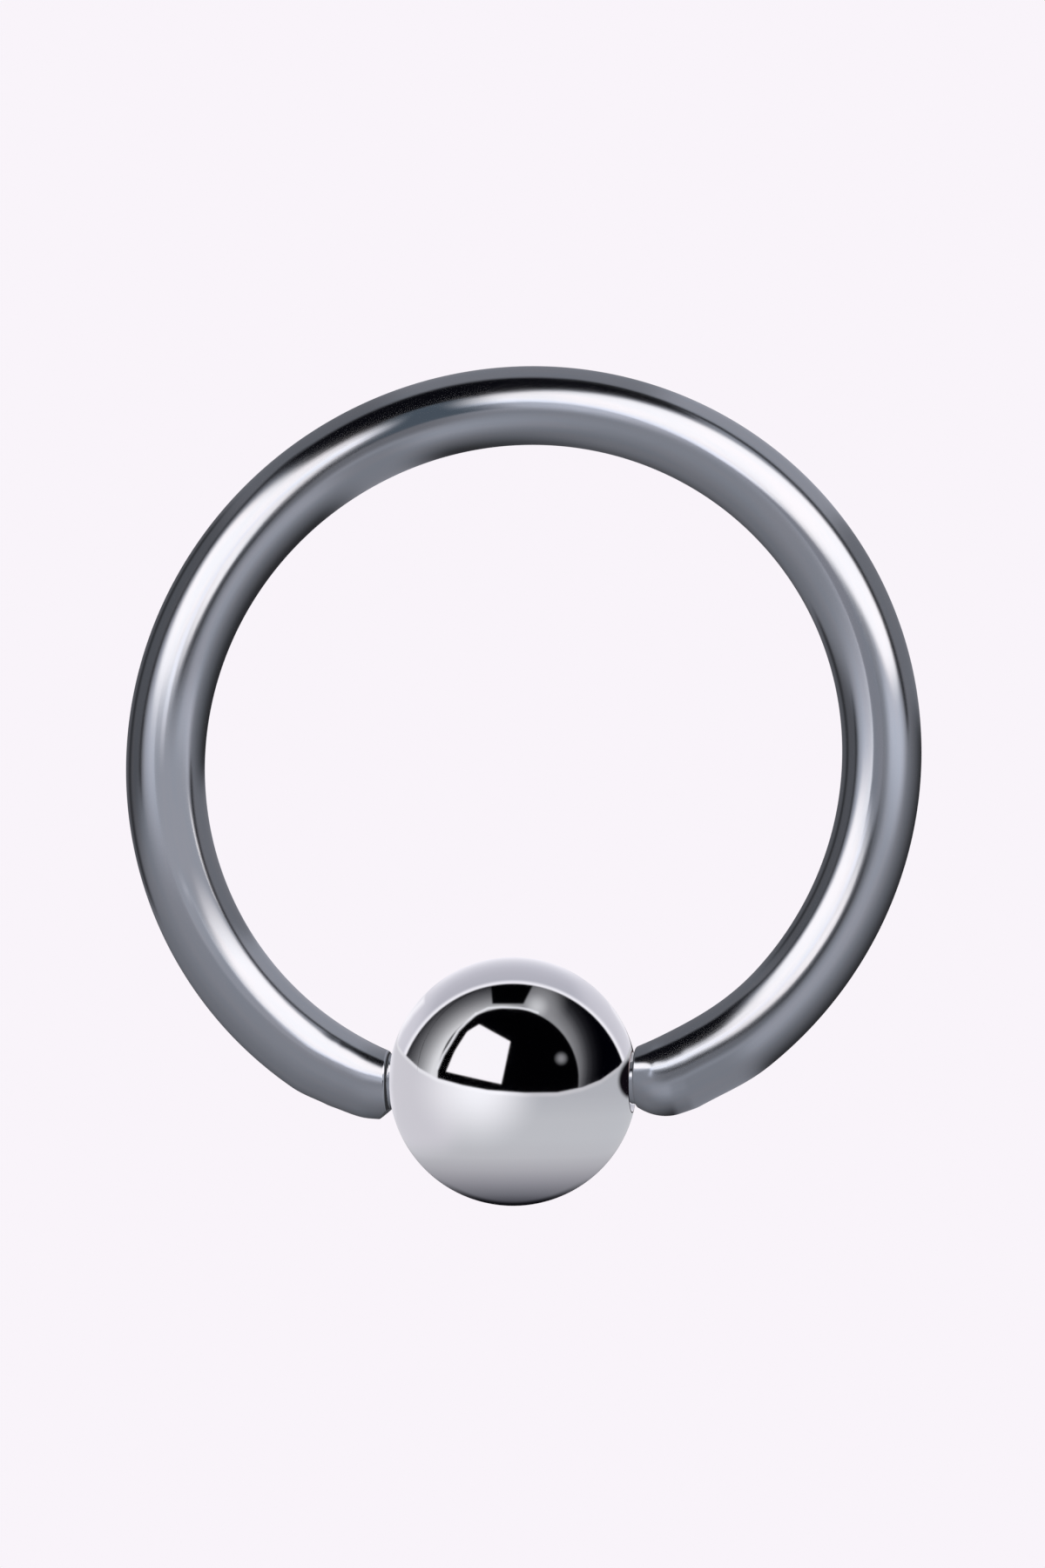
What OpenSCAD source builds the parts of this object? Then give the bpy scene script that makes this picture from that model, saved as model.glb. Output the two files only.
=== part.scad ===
// Captive bead ring: a bent wire whose domed ends hold a dimpled ball between them.
// Millimetres, +Z up. The ring lies as it rests on a surface: the far side of the wire and the bead touch it.

/* [Wire] */
// Thickness of the wire
wire_d = 1.6; // [1.2:0.1:2]
// Inner diameter of the ring
inner_d = 13; // [11:0.5:16]

/* [Bead] */
// Diameter of the bead
bead_d = 5; // [4:0.25:6]
// Free play between a nose and its dimple, all round
play = 0.05; // [0.02:0.01:0.1]

/* [Wire ends] */
// Radius of a nose where it leaves the shoulder, as a share of the wire's radius
nose_share = 0.7; // [0.6:0.01:0.72]
// How far a nose stands out of the shoulder
nose_len = 0.38; // [0.3:0.01:0.45]
// Half the height of a shoulder over the bead's axis, as a share of the wire's radius
shoulder_share = 0.74; // [0.72:0.01:0.8]
// How far the wire reaches below the bead's axis at its ends, as a share of its radius
drop_share = 0.97; // [0.95:0.01:1]
// Chamfer along the outer edge of a shoulder
chamfer = 0.2; // [0.1:0.05:0.22]
// Length along the bead's axis over which the outer side is eased
ease_len = 1.26; // [1:0.02:1.5]
// Angle at which the eased side leaves the wire's own outer line
ease_angle = 9; // [6:0.5:12]

/* [Hidden] */
$fn = 96;

wire_r = wire_d / 2;
inner_r = inner_d / 2;
mid_r = inner_r + wire_r;
outer_r = inner_r + wire_d;
bead_r = bead_d / 2;

// The shoulders stand at the bead's widest, and its axis runs through the middle of both.
face_x = bead_r;
bead_y = -(sqrt(inner_r ^ 2 - face_x ^ 2) + shoulder_share * wire_r);

// A nose is the cap of a ball, and its dimple is the same ball made larger by the play.
nose_base_r = nose_share * wire_r;
nose_ball_r = (nose_base_r ^ 2 + nose_len ^ 2) / (2 * nose_len);
nose_x = face_x - nose_len + nose_ball_r;
dimple_r = nose_ball_r + play;

// The outer side of each end is eased along the inside of a fatter wire, bent more tightly.
low_y = bead_y - drop_share * wire_r;
fat_r = 1.25 * wire_r;
ease_x = face_x + ease_len;
ease_at = asin(ease_x / outer_r);
ease_turn = ease_at - ease_angle;
bend_r = (-low_y - outer_r * cos(ease_at)) / (1 - cos(ease_turn));
bend_x = ease_x - bend_r * sin(ease_turn);
bend_y = low_y + bend_r;
room_r = 1.3 * wire_d;

// At rest the bead's underside and the far side of the wire share one plane.
tilt = asin((bead_r - wire_r) / (mid_r - bead_y));
rise = wire_r + mid_r * sin(tilt);
front_y = bead_y * cos(tilt) - bead_r;
back_y = mid_r * cos(tilt) + wire_r;

// Lays the ring's own plane down as it rests, with the middle of its outline over the origin.
module at_rest() {
    translate([0, -(front_y + back_y) / 2, rise])
        rotate([-tilt, 0, 0])
            children();
}

// Turns a shape drawn about Z so that it lies along the bead's axis, pointing to +X.
module along_bead_axis(y = bead_y) {
    translate([0, y, 0])
        rotate([0, 90, 0])
            children();
}

// A whole ring of wire about Z, round in section.
module wire_loop(bend, r) {
    rotate_extrude()
        translate([bend, 0])
            circle(r = r);
}

// The space between the shoulders, less the two noses that reach into it.
module bead_room() {
    along_bead_axis()
        rotate_extrude()
            difference() {
                translate([0, -face_x])
                    square([room_r, 2 * face_x]);
                for (side = [-1, 1])
                    translate([0, side * nose_x])
                        circle(r = nose_ball_r);
            }
}

// What the easing takes off the outer side of the end at +X.
module eased_side() {
    difference() {
        translate([face_x, -outer_r - wire_r, -wire_d])
            cube([ease_len + wire_r / 2, outer_r, 2 * wire_d]);
        translate([bend_x, bend_y, 0])
            wire_loop(bend_r - fat_r, fat_r);
    }
}

// What the chamfer takes off the outer edge of the shoulder at +X.
module shoulder_chamfer() {
    translate([face_x, 0, 0])
        along_bead_axis(low_y + fat_r)
            difference() {
                cylinder(r = room_r, h = 2 * chamfer);
                cylinder(r1 = fat_r - chamfer, r2 = fat_r + chamfer, h = 2 * chamfer);
            }
}

module ring() {
    color([0.62, 0.63, 0.66])
        at_rest()
            difference() {
                wire_loop(mid_r, wire_r);
                bead_room();
                for (side = [0, 1])
                    mirror([side, 0, 0]) {
                        eased_side();
                        shoulder_chamfer();
                    }
            }
}

module bead() {
    color([0.80, 0.80, 0.83])
        at_rest()
            along_bead_axis()
                difference() {
                    sphere(r = bead_r);
                    for (side = [-1, 1])
                        translate([0, 0, side * nose_x])
                            sphere(r = dimple_r);
                }
}

ring();
bead();
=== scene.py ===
"""Captive bead ring: the looks of the steel wire ring and of the ball that its ends hold.

Lengths are metres and +Z is up. The ring lies as it rests, with the far side of the wire and the bead on
the floor. Each piece is modelled in the ring's own plane, with the ring's centre at the origin and the bead
towards -Y, and is then laid down into the rest position of the frame.
"""

import logging
import math
from dataclasses import dataclass
from enum import Enum

import bmesh
import bpy
from mathutils import Euler, Matrix, Vector

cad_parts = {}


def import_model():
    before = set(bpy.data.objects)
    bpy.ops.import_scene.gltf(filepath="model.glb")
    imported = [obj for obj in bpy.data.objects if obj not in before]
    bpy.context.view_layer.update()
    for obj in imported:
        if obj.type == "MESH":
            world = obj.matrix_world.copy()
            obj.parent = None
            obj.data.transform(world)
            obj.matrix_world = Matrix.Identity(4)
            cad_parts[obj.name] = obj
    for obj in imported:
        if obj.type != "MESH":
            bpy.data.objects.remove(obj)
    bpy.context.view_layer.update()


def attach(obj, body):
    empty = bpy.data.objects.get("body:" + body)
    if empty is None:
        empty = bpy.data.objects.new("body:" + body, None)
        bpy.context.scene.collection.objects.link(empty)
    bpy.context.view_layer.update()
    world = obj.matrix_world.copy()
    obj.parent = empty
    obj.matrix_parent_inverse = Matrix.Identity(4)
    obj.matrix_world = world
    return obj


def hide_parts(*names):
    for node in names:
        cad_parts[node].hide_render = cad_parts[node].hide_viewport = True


MM = 0.001
HUNDREDS_OF_DEGREES = 180.0 / math.pi / 100.0
LOG = logging.getLogger("captive_bead_ring")

Colour = tuple[float, float, float]
Plane = tuple[float, float]


class Side(Enum):
    """The two ends of the wire, by the side of the bead that they hold."""

    LEFT = -1
    RIGHT = 1


def tone(value: float) -> float:
    """Turns a display tone into linear light.

    Args:
        value: The tone as a display shows it, from 0 to 255.

    Returns:
        The same tone as linear light, from 0 to 1.
    """
    share = value / 255.0
    if share <= 0.04045:
        return share / 12.92
    return ((share + 0.055) / 1.055) ** 2.4


def shade(red: float, green: float, blue: float) -> Colour:
    """Turns a display colour into linear light.

    Args:
        red: Red from 0 to 255.
        green: Green from 0 to 255.
        blue: Blue from 0 to 255.

    Returns:
        The linear colour.
    """
    return tone(red), tone(green), tone(blue)


def eased(share: float) -> float:
    """Turns an even run from 0 to 1 into one that starts and ends softly."""
    return share * share * (3.0 - 2.0 * share)


def cap_ball_r(base_r: float, height: float) -> float:
    """Radius of the ball that a dome is a cap of, from the radius of the dome's base and its height."""
    return (base_r**2 + height**2) / (2 * height)


def deselect_all() -> None:
    """Leaves nothing selected, so that the next operator acts on its own piece alone."""
    bpy.ops.object.select_all(action="DESELECT")
    bpy.context.view_layer.objects.active = None


def make_active(piece: bpy.types.Object) -> None:
    """Selects one piece alone and makes it the active one.

    Args:
        piece: The object to work on.
    """
    deselect_all()
    piece.select_set(True)
    bpy.context.view_layer.objects.active = piece


def triangle_count(piece: bpy.types.Object) -> int:
    """Counts the triangles of a mesh.

    Args:
        piece: A mesh object without live modifiers.

    Returns:
        The number of triangles its faces make.
    """
    return sum(len(face.vertices) - 2 for face in piece.data.polygons)


@dataclass(frozen=True)
class JewellerySizes:
    """Driving sizes of the ring, in metres, and what follows from them."""

    wire_d: float = 1.6 * MM
    inner_d: float = 13.0 * MM
    bead_d: float = 5.0 * MM
    play: float = 0.05 * MM
    nose_share: float = 0.7
    nose_len: float = 0.38 * MM
    shoulder_share: float = 0.74
    drop_share: float = 0.97

    @property
    def wire_r(self) -> float:
        """Radius of the wire."""
        return self.wire_d / 2

    @property
    def inner_r(self) -> float:
        """Radius of the ring's hole."""
        return self.inner_d / 2

    @property
    def mid_r(self) -> float:
        """Radius of the wire's centre line."""
        return self.inner_r + self.wire_r

    @property
    def outer_r(self) -> float:
        """Radius of the ring's outer edge."""
        return self.inner_r + self.wire_d

    @property
    def bead_r(self) -> float:
        """Radius of the bead."""
        return self.bead_d / 2

    @property
    def face_x(self) -> float:
        """Distance of a shoulder from the middle of the bead."""
        return self.bead_r

    @property
    def bead_y(self) -> float:
        """Height of the bead's axis in the ring's plane."""
        half_height = self.shoulder_share * self.wire_r
        return -(math.sqrt(self.inner_r**2 - self.face_x**2) + half_height)

    @property
    def low_y(self) -> float:
        """Lowest line of the wire's eased ends."""
        return self.bead_y - self.drop_share * self.wire_r

    @property
    def nose_base_r(self) -> float:
        """Radius of a nose where it leaves its shoulder."""
        return self.nose_share * self.wire_r

    @property
    def nose_ball_r(self) -> float:
        """Radius of the ball that a nose is a cap of."""
        return cap_ball_r(self.nose_base_r, self.nose_len)

    @property
    def nose_x(self) -> float:
        """Distance of that ball's centre from the middle of the bead."""
        return self.face_x - self.nose_len + self.nose_ball_r

    @property
    def dimple_r(self) -> float:
        """Radius of a dimple's ball."""
        return self.nose_ball_r + self.play

    @property
    def tilt(self) -> float:
        """How far the ring leans on the bead at rest, in radians."""
        return math.asin((self.bead_r - self.wire_r) / (self.mid_r - self.bead_y))

    @property
    def rise(self) -> float:
        """Height of the ring's centre at rest."""
        return self.wire_r + self.mid_r * math.sin(self.tilt)

    @property
    def shift(self) -> float:
        """How far the ring's centre lies behind the middle of the outline."""
        front = self.bead_y * math.cos(self.tilt) - self.bead_r
        back = self.mid_r * math.cos(self.tilt) + self.wire_r
        return -(front + back) / 2

    def at_rest(self) -> Matrix:
        """Places the ring's own plane as it lies at rest.

        Returns:
            The matrix from the ring's plane to the frame.
        """
        lean = Matrix.Rotation(-self.tilt, 4, "X")
        return Matrix.Translation((0.0, self.shift, self.rise)) @ lean


@dataclass(frozen=True)
class Viewpoint:
    """Where the photograph was taken from, and how the object sits in its frame."""

    distance: float = 300.0 * MM
    elevation_deg: float = 81.33
    azimuth_deg: float = 66.28
    roll_deg: float = -0.69
    picture_h_px: float = 1800.0
    pixel: float = 0.017585 * MM
    ring_up_px: float = 28.3
    sensor: float = 36.0
    clip_near: float = 10.0 * MM
    clip_far: float = 2.0

    def towards(self) -> Vector:
        """Direction from the object to the camera."""
        elevation = math.radians(self.elevation_deg)
        azimuth = math.radians(self.azimuth_deg)
        level = math.cos(elevation)
        return Vector((math.sin(azimuth) * level, -math.cos(azimuth) * level, math.sin(elevation)))

    def axes(self) -> tuple[Vector, Vector, Vector]:
        """Directions of the picture.

        Returns:
            The picture's right, its up, and the direction towards the camera.
        """
        back = self.towards()
        level_right = (-back).cross(Vector((0.0, 1.0, 0.0))).normalized()
        level_up = level_right.cross(-back)
        roll = math.radians(self.roll_deg)
        right = level_right * math.cos(roll) - level_up * math.sin(roll)
        up = level_right * math.sin(roll) + level_up * math.cos(roll)
        return right, up, back

    def make_camera(self, ring_centre: Vector) -> bpy.types.Object:
        """Makes the camera and hands it to the scene.

        Args:
            ring_centre: Centre of the ring at rest.

        Returns:
            The camera.
        """
        right, up, back = self.axes()
        aim = ring_centre - up * self.ring_up_px * self.pixel
        deselect_all()
        bpy.ops.object.camera_add(location=aim + back * self.distance)
        camera = bpy.context.object
        camera.name = "photo_camera"
        turn = Matrix((right, up, back)).transposed()
        camera.rotation_euler = turn.to_euler()
        camera.data.sensor_width = self.sensor
        camera.data.lens = self.sensor * self.distance / (self.picture_h_px * self.pixel)
        camera.data.clip_start = self.clip_near
        camera.data.clip_end = self.clip_far
        bpy.context.scene.camera = camera
        return camera


class NodeSheet:
    """Writes shader nodes into one node tree, each call giving back the socket it made."""

    def __init__(self, tree: bpy.types.NodeTree) -> None:
        """Starts on an empty tree.

        Args:
            tree: The node tree to write in, which is cleared first.
        """
        self.tree = tree
        self.tree.nodes.clear()

    def add(self, kind: str, **settings: object) -> bpy.types.Node:
        """Adds a node.

        Args:
            kind: Blender's name of the node.
            **settings: Properties of the node to set.

        Returns:
            The new node.
        """
        node = self.tree.nodes.new(kind)
        for name, value in settings.items():
            setattr(node, name, value)
        return node

    def feed(self, socket: bpy.types.NodeSocket, value: object) -> None:
        """Links a socket to an input, or sets the input's value.

        Args:
            socket: The input.
            value: Another node's output, or a plain value.
        """
        if isinstance(value, bpy.types.NodeSocket):
            self.tree.links.new(value, socket)
        else:
            socket.default_value = value

    def math(self, operation: str, *values: object, clamp: bool = False) -> bpy.types.NodeSocket:
        """Adds a Math node.

        Args:
            operation: The operation's name.
            *values: Its inputs in order.
            clamp: Whether the result is kept between 0 and 1.

        Returns:
            The result.
        """
        node = self.add("ShaderNodeMath", operation=operation, use_clamp=clamp)
        for socket, value in zip(node.inputs, values):
            self.feed(socket, value)
        return node.outputs[0]

    def vector(self, operation: str, *values: object) -> bpy.types.NodeSocket:
        """Adds a Vector Math node that gives a vector.

        Args:
            operation: The operation's name.
            *values: Its inputs in order.

        Returns:
            The resulting vector.
        """
        node = self.add("ShaderNodeVectorMath", operation=operation)
        for socket, value in zip(node.inputs, values):
            self.feed(socket, value)
        return node.outputs["Vector"]

    def dot(self, first: object, second: object) -> bpy.types.NodeSocket:
        """Adds a dot product.

        Args:
            first: A vector.
            second: Another vector.

        Returns:
            Their dot product.
        """
        node = self.add("ShaderNodeVectorMath", operation="DOT_PRODUCT")
        self.feed(node.inputs[0], first)
        self.feed(node.inputs[1], second)
        return node.outputs["Value"]

    def length(self, first: object, second: object) -> bpy.types.NodeSocket:
        """Adds the length of a flat step.

        Args:
            first: The step's part along one axis.
            second: Its part along the other.

        Returns:
            The length.
        """
        square = self.math("MULTIPLY", first, first)
        return self.math("SQRT", self.math("MULTIPLY_ADD", second, second, square))

    def step(self, value: object, low: float, high: float) -> bpy.types.NodeSocket:
        """Adds a smooth step.

        Args:
            value: What is compared.
            low: Where the step starts.
            high: Where it ends, which may lie under low for a falling step.

        Returns:
            A value that goes from 0 at low to 1 at high.
        """
        node = self.add("ShaderNodeMapRange", interpolation_type="SMOOTHSTEP")
        self.feed(node.inputs["Value"], value)
        rising = high > low
        node.inputs["From Min"].default_value = low if rising else high
        node.inputs["From Max"].default_value = high if rising else low
        node.inputs["To Min"].default_value = 0.0 if rising else 1.0
        node.inputs["To Max"].default_value = 1.0 if rising else 0.0
        return node.outputs["Result"]

    def mix(self, factor: object, under: object, over: object) -> bpy.types.NodeSocket:
        """Mixes two colours. The node names its colour sockets like its others, so they go by number.

        Args:
            factor: How much of the upper colour shows.
            under: The lower colour.
            over: The upper colour.

        Returns:
            The mixed colour.
        """
        node = self.add("ShaderNodeMix", data_type="RGBA")
        self.feed(node.inputs[0], factor)
        self.feed(node.inputs[6], under)
        self.feed(node.inputs[7], over)
        return node.outputs[2]

    def ramp(self, value: object, stops: list[tuple[float, Colour]]) -> bpy.types.NodeSocket:
        """Adds a colour ramp.

        Args:
            value: Where on the ramp to read.
            stops: Places from 0 to 1, each with its colour.

        Returns:
            The colour read.
        """
        node = self.add("ShaderNodeValToRGB")
        elements = node.color_ramp.elements
        while len(elements) < len(stops):
            elements.new(0.5)
        # Blender sorts the stops as they move, so their places are set again with their colours.
        for element, (place, _) in zip(elements, stops):
            element.position = place
        for element, (place, colour) in zip(elements, stops):
            element.position = place
            element.color = (*colour, 1.0)
        self.feed(node.inputs["Fac"], value)
        return node.outputs["Color"]


@dataclass(frozen=True)
class Picture:
    """Flat coordinates in a picture of a light shell."""

    across: bpy.types.NodeSocket
    up: bpy.types.NodeSocket


@dataclass(frozen=True)
class Disc:
    """A round patch in a shell's picture."""

    across: float
    up: float
    radius: float
    soft: float

    def mask(self, sheet: NodeSheet, picture: Picture) -> bpy.types.NodeSocket:
        """Draws the patch.

        Args:
            sheet: The node sheet.
            picture: The picture's coordinates.

        Returns:
            1 inside the patch and 0 outside.
        """
        distance = sheet.length(
            sheet.math("SUBTRACT", picture.across, self.across),
            sheet.math("SUBTRACT", picture.up, self.up),
        )
        return sheet.step(distance, self.radius + self.soft / 2, self.radius - self.soft / 2)


@dataclass(frozen=True)
class Panel:
    """A straight-sided patch without hollows in a shell's picture, its corners given clockwise."""

    corners: tuple[Plane, ...]
    soft: float

    def mask(self, sheet: NodeSheet, picture: Picture) -> bpy.types.NodeSocket:
        """Draws the patch.

        Args:
            sheet: The node sheet.
            picture: The picture's coordinates.

        Returns:
            1 inside the patch and 0 outside.
        """
        result = None
        for here, there in zip(self.corners, self.corners[1:] + self.corners[:1]):
            run = Vector(there) - Vector(here)
            inward = Vector((run.y, -run.x)).normalized()
            part = sheet.math("MULTIPLY", picture.across, inward.x)
            height = sheet.math("MULTIPLY_ADD", picture.up, inward.y, part)
            level = inward.dot(Vector(here))
            edge = sheet.step(height, level - self.soft / 2, level + self.soft / 2)
            result = edge if result is None else sheet.math("MULTIPLY", result, edge)
        return result


@dataclass(frozen=True)
class Ribbon:
    """A soft line through a run of points in a shell's picture."""

    points: tuple[Plane, ...]
    width: float
    soft: float

    def mask(self, sheet: NodeSheet, picture: Picture) -> bpy.types.NodeSocket:
        """Draws the line.

        Args:
            sheet: The node sheet.
            picture: The picture's coordinates.

        Returns:
            1 on the line and 0 away from it.
        """
        nearest = None
        for here, there in zip(self.points, self.points[1:]):
            run = Vector(there) - Vector(here)
            across = sheet.math("SUBTRACT", picture.across, here[0])
            up = sheet.math("SUBTRACT", picture.up, here[1])
            part = sheet.math("MULTIPLY", across, run.x / run.length_squared)
            along = sheet.math("MULTIPLY_ADD", up, run.y / run.length_squared, part, clamp=True)
            off_across = sheet.math("MULTIPLY_ADD", along, -run.x, across)
            off_up = sheet.math("MULTIPLY_ADD", along, -run.y, up)
            distance = sheet.length(off_across, off_up)
            nearest = distance if nearest is None else sheet.math("MINIMUM", nearest, distance)
        return sheet.step(nearest, (self.width + self.soft) / 2, (self.width - self.soft) / 2)


@dataclass(frozen=True)
class LightPatch:
    """One softbox, dark card or wall of the studio, as the polished steel shows it."""

    shape: Disc | Panel | Ribbon
    colour: Colour
    strength: float = 1.0

    def paint(self, sheet: NodeSheet, picture: Picture, under: bpy.types.NodeSocket) -> bpy.types.NodeSocket:
        """Paints the patch over what is already there.

        Args:
            sheet: The node sheet.
            picture: The picture's coordinates.
            under: The colour painted so far.

        Returns:
            The colour with the patch on it.
        """
        mask = self.shape.mask(sheet, picture)
        if self.strength != 1.0:
            mask = sheet.math("MULTIPLY", mask, self.strength)
        return sheet.mix(mask, under, (*self.colour, 1.0))


def paint_patches(
    sheet: NodeSheet,
    picture: Picture,
    under: bpy.types.NodeSocket,
    patches: list[LightPatch],
) -> bpy.types.NodeSocket:
    """Paints patches over each other, the first one lowest.

    Args:
        sheet: The node sheet.
        picture: The picture's coordinates.
        under: The colour painted so far.
        patches: The patches in order.

    Returns:
        The colour with all of them on it.
    """
    for patch in patches:
        under = patch.paint(sheet, picture, under)
    return under


@dataclass
class StudioShell:
    """A light shell that only one piece mirrors: the softboxes and dark cards arranged for it."""

    name: str
    viewpoint: Viewpoint
    steel: Colour

    def shown(self, red: float, green: float, blue: float) -> Colour:
        """Gives the light that shows on the steel as a display colour from 0 to 255."""
        return tuple(light / steel for light, steel in zip(shade(red, green, blue), self.steel))

    def make_mesh(self) -> None:
        """Makes the surface that the light comes from. Each kind of shell has its own."""
        raise NotImplementedError

    def paint(self, sheet: NodeSheet, place: bpy.types.NodeSocket) -> bpy.types.NodeSocket:
        """Makes the shell's shader from Object coordinates. Each kind of shell has its own."""
        raise NotImplementedError

    def build(self, lit: bpy.types.Object) -> bpy.types.Object:
        """Makes the shell and links its light to one piece.

        Args:
            lit: The piece that the shell lights.

        Returns:
            The shell.
        """
        deselect_all()
        self.make_mesh()
        shell = bpy.context.object
        shell.name = self.name
        shell.data.materials.append(self.light_material())
        shell.visible_camera = False
        shell.visible_shadow = False
        shell.visible_diffuse = False
        receivers = bpy.data.collections.new(self.name + "_lights")
        receivers.objects.link(lit)
        shell.light_linking.receiver_collection = receivers
        return shell

    def light_material(self) -> bpy.types.Material:
        """Makes the shell's material.

        Returns:
            The material.
        """
        material = bpy.data.materials.new(self.name)
        material.use_nodes = True
        material.cycles.emission_sampling = "NONE"
        sheet = NodeSheet(material.node_tree)
        place = sheet.add("ShaderNodeTexCoord").outputs["Object"]
        sheet.feed(sheet.add("ShaderNodeOutputMaterial").inputs["Surface"], self.paint(sheet, place))
        return material


@dataclass
class BallShell(StudioShell):
    """A shell in the form of a ball, painted all over."""

    radius: float

    def surroundings(self, sheet: NodeSheet, halfway: bpy.types.NodeSocket) -> bpy.types.NodeSocket:
        """Paints the surroundings. Each ball has its own."""
        raise NotImplementedError

    def make_mesh(self) -> None:
        """Makes the ball."""
        bpy.ops.mesh.primitive_ico_sphere_add(subdivisions=6, radius=self.radius)

    def paint(self, sheet: NodeSheet, place: bpy.types.NodeSocket) -> bpy.types.NodeSocket:
        """Makes the shell's glow, which other rays pass through.

        Args:
            sheet: The material's node sheet.
            place: Object coordinates.

        Returns:
            The shader.
        """
        away = sheet.vector("NORMALIZE", place)
        halfway = sheet.vector("NORMALIZE", sheet.vector("ADD", away, tuple(self.viewpoint.towards())))
        glow = sheet.add("ShaderNodeEmission")
        sheet.feed(glow.inputs["Color"], self.surroundings(sheet, halfway))
        both = sheet.add("ShaderNodeAddShader")
        sheet.feed(both.inputs[0], glow.outputs[0])
        sheet.feed(both.inputs[1], sheet.add("ShaderNodeBsdfTransparent").outputs[0])
        return both.outputs[0]


@dataclass
class RingShell(BallShell):
    """What the wire mirrors: two long softboxes round its top, and the dark cards between and above them.

    The wire shows each direction on the side of its tube that faces it. So the shell's picture is unrolled
    round the ring's own axis: across is the clock angle round the ring in hundreds of degrees, and up is how
    far the steel there faces away from the axis, from 0 on the crown of the wire to 1 on its edge.
    """

    rest: Matrix

    def grey(self, value: float) -> Colour:
        """Gives a grey of the steel's cool cast, seen at a display tone."""
        return self.shown(0.966 * value, 0.981 * value, 1.053 * value)

    def panel(self, value: float, soft: float, *corners: Plane) -> LightPatch:
        """Makes a straight-sided card of one grey."""
        return LightPatch(Panel(corners, soft), self.grey(value))

    def ribbon(self, value: float, width: float, soft: float, *points: Plane) -> LightPatch:
        """Makes a soft line of one grey."""
        return LightPatch(Ribbon(points, width, soft), self.grey(value))

    def table(self, sheet: NodeSheet, out: bpy.types.NodeSocket, tones: tuple) -> bpy.types.NodeSocket:
        """Paints a table whose grey changes with how far the steel faces outwards."""
        return sheet.ramp(out, [(place, self.grey(value)) for place, value in tones])

    def surroundings(self, sheet: NodeSheet, halfway: bpy.types.NodeSocket) -> bpy.types.NodeSocket:
        """Paints the wire's surroundings.

        Args:
            sheet: The shell's node sheet.
            halfway: The direction that steel faces to show a point of the shell.

        Returns:
            The light's colour.
        """
        turned = self.rest.to_3x3()
        right = sheet.dot(halfway, tuple(turned.col[0]))
        top = sheet.dot(halfway, tuple(turned.col[1]))
        out = sheet.length(right, top)
        clock = sheet.math("MULTIPLY", sheet.math("ARCTAN2", right, top), HUNDREDS_OF_DEGREES)
        unrolled = Picture(across=clock, up=out)
        right_share = sheet.step(right, -0.25, 0.25)
        light = sheet.mix(right_share, self.left_table(sheet, out), self.right_table(sheet, out))
        cards = self.walls() + self.softboxes() + self.dark_cards()
        return paint_patches(sheet, unrolled, light, cards)

    def right_table(self, sheet: NodeSheet, out: bpy.types.NodeSocket) -> bpy.types.NodeSocket:
        """Paints the table under the ring's right side."""
        tones = ((0.0, 150), (0.12, 134), (0.2, 122), (0.3, 124), (0.4, 140), (0.5, 150), (0.6, 146))
        tones += ((0.7, 126), (0.8, 104), (0.9, 80), (0.96, 58), (1.0, 40))
        return self.table(sheet, out, tones)

    def left_table(self, sheet: NodeSheet, out: bpy.types.NodeSocket) -> bpy.types.NodeSocket:
        """Paints the table under the ring's left side."""
        tones = ((0.0, 146), (0.1, 136), (0.2, 130), (0.45, 127), (0.6, 120), (0.75, 112))
        tones += ((0.88, 106), (0.95, 94), (1.0, 74))
        return self.table(sheet, out, tones)

    def walls(self) -> list[LightPatch]:
        """Lists the studio's walls and the glow that the softboxes leave on them."""
        return [
            self.panel(184, 0.34, (-1.02, -0.3), (-1.02, 0.40), (-0.60, 0.40), (-0.60, -0.3)),
            self.panel(80, 0.14, (-0.97, 0.46), (-1.22, 1.3), (-0.2, 1.3), (-0.2, 0.46)),
            self.ribbon(46, 0.08, 0.08, (-1.1, 0.86), (-0.92, 0.80), (-0.70, 0.77), (-0.52, 0.76)),
            self.panel(97, 0.10, (-0.52, 0.44), (-0.48, 1.3), (-0.18, 1.3), (-0.18, 0.44)),
            self.panel(115, 0.10, (-0.20, 0.40), (-0.20, 1.3), (0.24, 1.3), (0.24, 0.40)),
            self.panel(141, 0.08, (0.22, 0.40), (0.20, 1.3), (0.55, 1.3), (0.56, 0.40)),
            self.panel(106, 0.08, (0.55, 0.60), (0.52, 1.3), (0.84, 1.3), (0.84, 0.60)),
            self.panel(186, 0.18, (0.76, 0.32), (0.80, 0.66), (1.00, 0.66), (0.94, 0.34)),
            self.panel(104, 0.14, (0.98, 0.12), (1.0, 0.36), (1.68, 0.36), (1.68, 0.06)),
            self.panel(198, 0.20, (-1.98, -0.3), (-1.98, 0.20), (-1.62, 0.17), (-1.52, -0.3)),
            self.panel(198, 0.20, (1.72, -0.3), (1.78, 0.20), (1.98, 0.20), (1.98, -0.3)),
            self.panel(122, 0.12, (1.44, 0.42), (1.44, 1.3), (1.60, 1.3), (1.60, 0.42)),
        ]

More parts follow.
